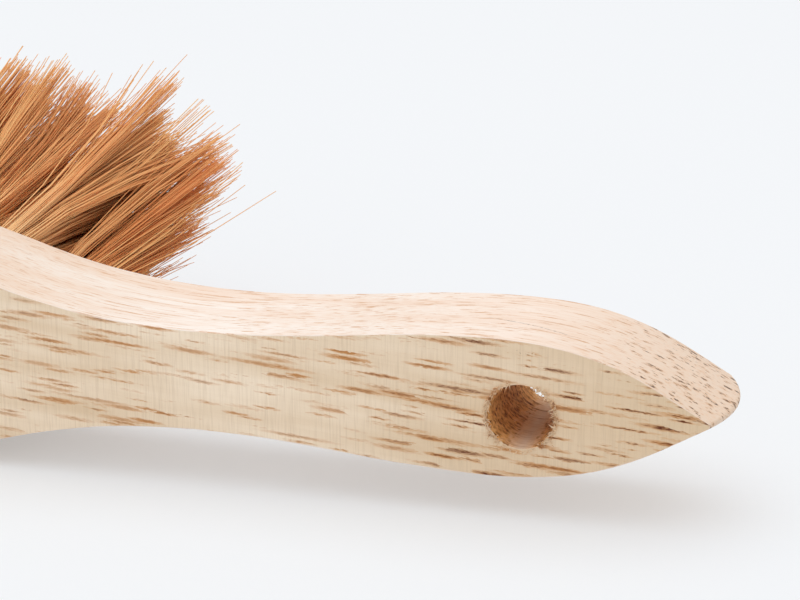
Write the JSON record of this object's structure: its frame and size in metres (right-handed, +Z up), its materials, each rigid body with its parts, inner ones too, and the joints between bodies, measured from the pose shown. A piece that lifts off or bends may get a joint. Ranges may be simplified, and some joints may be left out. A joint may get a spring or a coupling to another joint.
{
  "type": "hand brush",
  "caption": "Wooden hand brush with a waisted handle, pointed tip, drilled hang hole and spread coir bristles set in tufts in the head, lying on its side.",
  "frame": {"origin": "on the flat long side of the head that the brush lies on, halfway along the head and halfway through the board", "axes": "+X along the handle to its tip, +Y the way the bristles point, +Z up from the surface the brush lies on"},
  "size_m": [0.2666, 0.085, 0.0545],
  "materials": {
    "wood": "matte",
    "coir": "matte",
    "anchor_wire": "satin"
  },
  "bodies": {
    "root": {"wooden_board": "wood", "bristle_row_lower": "coir", "bristle_row_middle": "coir", "bristle_row_upper": "coir", "anchor_lower_01": "anchor_wire", "anchor_lower_02": "anchor_wire", "anchor_lower_03": "anchor_wire", "anchor_lower_04": "anchor_wire", "anchor_lower_05": "anchor_wire", "anchor_lower_06": "anchor_wire", "anchor_lower_07": "anchor_wire", "anchor_lower_08": "anchor_wire", "anchor_lower_09": "anchor_wire", "anchor_lower_10": "anchor_wire", "anchor_lower_11": "anchor_wire", "anchor_lower_12": "anchor_wire", "anchor_middle_01": "anchor_wire", "anchor_middle_02": "anchor_wire", "anchor_middle_03": "anchor_wire", "anchor_middle_04": "anchor_wire", "anchor_middle_05": "anchor_wire", "anchor_middle_06": "anchor_wire", "anchor_middle_07": "anchor_wire", "anchor_middle_08": "anchor_wire", "anchor_middle_09": "anchor_wire", "anchor_middle_10": "anchor_wire", "anchor_middle_11": "anchor_wire", "anchor_middle_12": "anchor_wire", "anchor_middle_13": "anchor_wire", "anchor_upper_01": "anchor_wire", "anchor_upper_02": "anchor_wire", "anchor_upper_03": "anchor_wire", "anchor_upper_04": "anchor_wire", "anchor_upper_05": "anchor_wire", "anchor_upper_06": "anchor_wire", "anchor_upper_07": "anchor_wire", "anchor_upper_08": "anchor_wire", "anchor_upper_09": "anchor_wire", "anchor_upper_10": "anchor_wire", "anchor_upper_11": "anchor_wire", "anchor_upper_12": "anchor_wire"}
  },
  "joints": []
}
